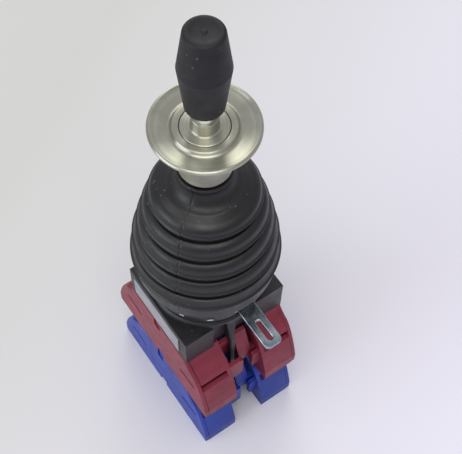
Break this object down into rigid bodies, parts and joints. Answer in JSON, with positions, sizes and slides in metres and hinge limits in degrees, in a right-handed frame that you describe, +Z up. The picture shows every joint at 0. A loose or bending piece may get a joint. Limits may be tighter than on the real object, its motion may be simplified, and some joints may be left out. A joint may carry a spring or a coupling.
{
  "type": "industrial joystick",
  "caption": "Panel-mounted four-way lever switch with a ribbed black knob, a lift-to-unlock disc ring, a folded rubber boot and stacked red and blue contact blocks.",
  "frame": {"origin": "centre of the panel seat, on the gasket's underside and on the lever's axis", "axes": "+Z up the lever, -Y towards the zinc locking tab, X across the two columns of contact blocks"},
  "size_m": [0.0364, 0.0481, 0.1493],
  "materials": {
    "knob_black": "matte moulded thermoplastic",
    "brass": "turned brass",
    "bright_steel": "bright nickel-plated steel",
    "plain_steel": "machined steel",
    "spring_steel": "drawn spring wire",
    "satin_aluminium": "satin turned aluminium",
    "dark_steel": "blackened steel",
    "boot_rubber": "semi-matte moulded rubber",
    "gasket_rubber": "matte rubber",
    "black_plastic": "matte glass-filled moulding",
    "grey_metal": "dark painted die casting",
    "zinc_plate": "zinc-plated sheet",
    "label_grey": "bare light grey strip",
    "natural_plastic": "natural acetal moulding",
    "red_plastic": "matte crimson moulding",
    "blue_plastic": "matte royal blue moulding",
    "contact_brass": "stamped contact alloy"
  },
  "bodies": {
    "root": {"boot": "boot_rubber", "operator_housing": "black_plastic", "gate_plate": "plain_steel", "gate_screws": "plain_steel", "gimbal_pins": "plain_steel", "mounting_barrel": "grey_metal", "housing_screws": "plain_steel", "panel_gasket": "gasket_rubber", "ring_nut": "grey_metal", "pusher_guide": "natural_plastic", "centring_spring": "spring_steel", "adaptor": "black_plastic", "adaptor_tongues": "black_plastic", "label_plate": "label_grey", "red_left_case": "red_plastic", "red_right_case": "red_plastic", "blue_left_case": "blue_plastic", "blue_right_case": "blue_plastic", "red_left_cover": "red_plastic", "red_right_cover": "red_plastic", "blue_left_cover": "blue_plastic", "blue_right_cover": "blue_plastic", "red_left_spring": "spring_steel", "red_right_spring": "spring_steel", "blue_left_spring": "spring_steel", "blue_right_spring": "spring_steel", "red_terminals": "contact_brass", "blue_terminals": "contact_brass", "terminal_clamps": "zinc_plate", "terminal_screws": "zinc_plate", "red_latches": "red_plastic", "blue_latches": "blue_plastic"},
    "gimbal": {"gimbal_ring": "plain_steel"},
    "lever": {"knob": "knob_black", "knob_insert": "brass", "lever_shaft": "bright_steel", "spring_cap": "satin_aluminium", "lever_pin": "plain_steel", "foot_plate": "plain_steel", "foot_nut": "plain_steel", "lock_spring": "spring_steel"},
    "lock_collar": {"lock_ring": "satin_aluminium", "lock_tube": "dark_steel"},
    "release_lever": {"locking_lever": "zinc_plate"},
    "push_right": {"pusher_right": "natural_plastic", "red_right_plunger": "natural_plastic", "red_right_bridge": "contact_brass"},
    "push_left": {"pusher_left": "natural_plastic", "red_left_plunger": "natural_plastic", "red_left_bridge": "contact_brass"},
    "push_front": {"pusher_front": "natural_plastic", "link_rod_front": "natural_plastic", "blue_right_plunger": "natural_plastic", "blue_right_bridge": "contact_brass"},
    "push_back": {"pusher_back": "natural_plastic", "link_rod_back": "natural_plastic", "blue_left_plunger": "natural_plastic", "blue_left_bridge": "contact_brass"}
  },
  "joints": [
    {"name": "tilt_right_left", "type": "hinge", "parent": "root", "child": "gimbal", "pos_m": [0, 0, 0.008], "axis": [0, 1, 0], "range_deg": [-15, 15], "stiffness_Nm_per_rad": 1.2, "deforming": ["boot", "centring_spring"]},
    {"name": "tilt_front_back", "type": "hinge", "parent": "gimbal", "child": "lever", "pos_m": [0, 0, 0.008], "axis": [1, 0, 0], "range_deg": [-15, 15], "stiffness_Nm_per_rad": 1.2, "deforming": ["boot", "centring_spring"]},
    {"name": "lift_lock", "type": "slide", "parent": "lever", "child": "lock_collar", "axis": [0, 0, 1], "range_m": [0, 0.004], "stiffness_N_per_m": 400, "springref_m": -0.004, "deforming": ["lock_spring"]},
    {"name": "release_turn", "type": "hinge", "parent": "root", "child": "release_lever", "pos_m": [0, 0, -0.0101], "axis": [0, 0, 1], "range_deg": [0, 35]},
    {"name": "push_right_slide", "type": "slide", "parent": "root", "child": "push_right", "axis": [0, 0, 1], "range_m": [-0.002, 0.002], "deforming": ["red_right_spring"]},
    {"name": "push_left_slide", "type": "slide", "parent": "root", "child": "push_left", "axis": [0, 0, 1], "range_m": [-0.002, 0.002], "deforming": ["red_left_spring"]},
    {"name": "push_front_slide", "type": "slide", "parent": "root", "child": "push_front", "axis": [0, 0, 1], "range_m": [-0.002, 0.002], "deforming": ["blue_right_spring"]},
    {"name": "push_back_slide", "type": "slide", "parent": "root", "child": "push_back", "axis": [0, 0, 1], "range_m": [-0.002, 0.002], "deforming": ["blue_left_spring"]}
  ],
  "couplings": [
    {"joint": "push_right_slide", "follows": "tilt_right_left", "m_per_rad": -0.0075},
    {"joint": "push_left_slide", "follows": "tilt_right_left", "m_per_rad": 0.0075},
    {"joint": "push_front_slide", "follows": "tilt_front_back", "m_per_rad": -0.0075},
    {"joint": "push_back_slide", "follows": "tilt_front_back", "m_per_rad": 0.0075}
  ]
}
